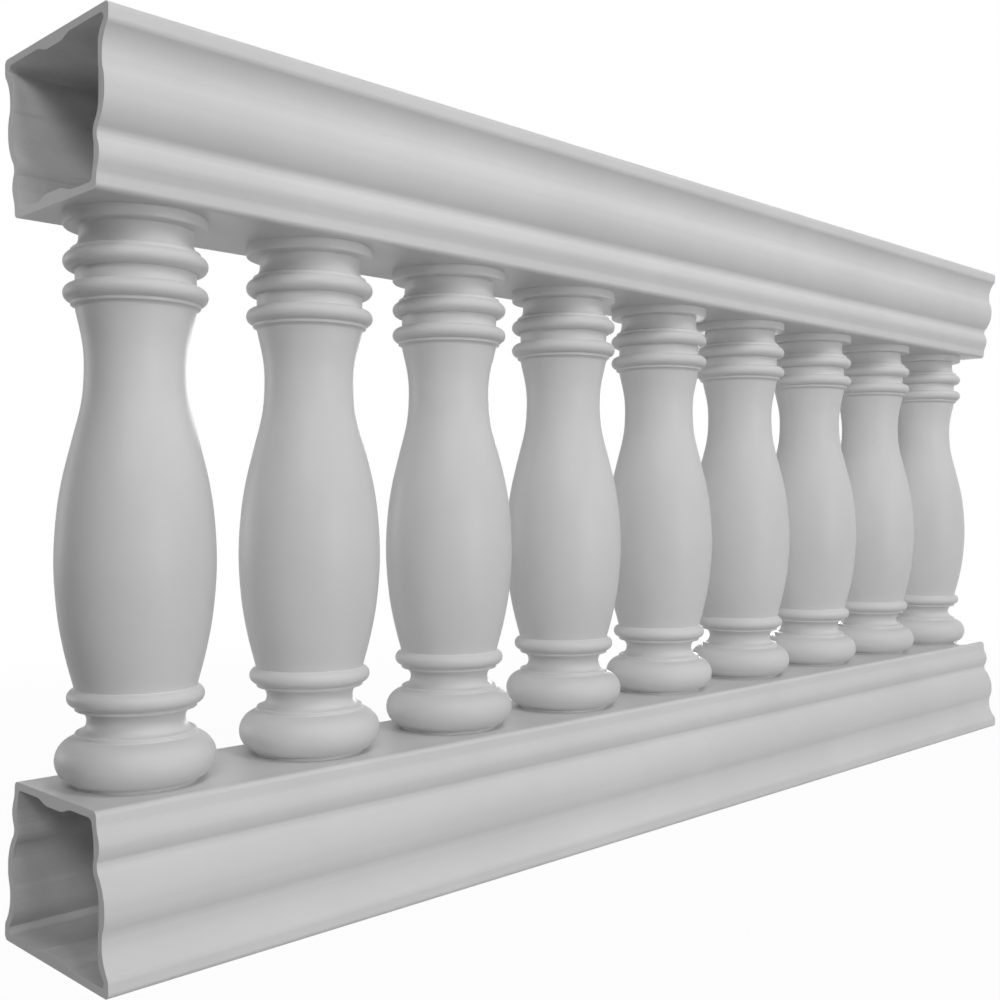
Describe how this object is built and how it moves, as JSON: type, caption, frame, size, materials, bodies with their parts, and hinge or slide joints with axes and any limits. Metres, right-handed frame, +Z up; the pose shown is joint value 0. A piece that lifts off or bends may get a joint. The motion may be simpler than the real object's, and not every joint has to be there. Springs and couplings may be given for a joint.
{
  "type": "fiberglass balustrade",
  "caption": "Straight balustrade bay with a hollow moulded top rail, a mirrored hollow bottom rail and round turned vase balusters between them.",
  "frame": {"origin": "centre of the footprint, on the flat underside of the bottom rail", "axes": "+X along the rails, +Y across the rails towards the back, +Z up"},
  "size_m": [1.921, 0.2242, 0.914],
  "materials": {
    "gel_coat": "matte pale grey gel coat on fiberglass"
  },
  "bodies": {
    "root": {"bottom_rail": "gel_coat", "top_rail": "gel_coat", "baluster_1": "gel_coat", "baluster_2": "gel_coat", "baluster_3": "gel_coat", "baluster_4": "gel_coat", "baluster_5": "gel_coat", "baluster_6": "gel_coat", "baluster_7": "gel_coat", "baluster_8": "gel_coat", "baluster_9": "gel_coat"}
  },
  "joints": []
}
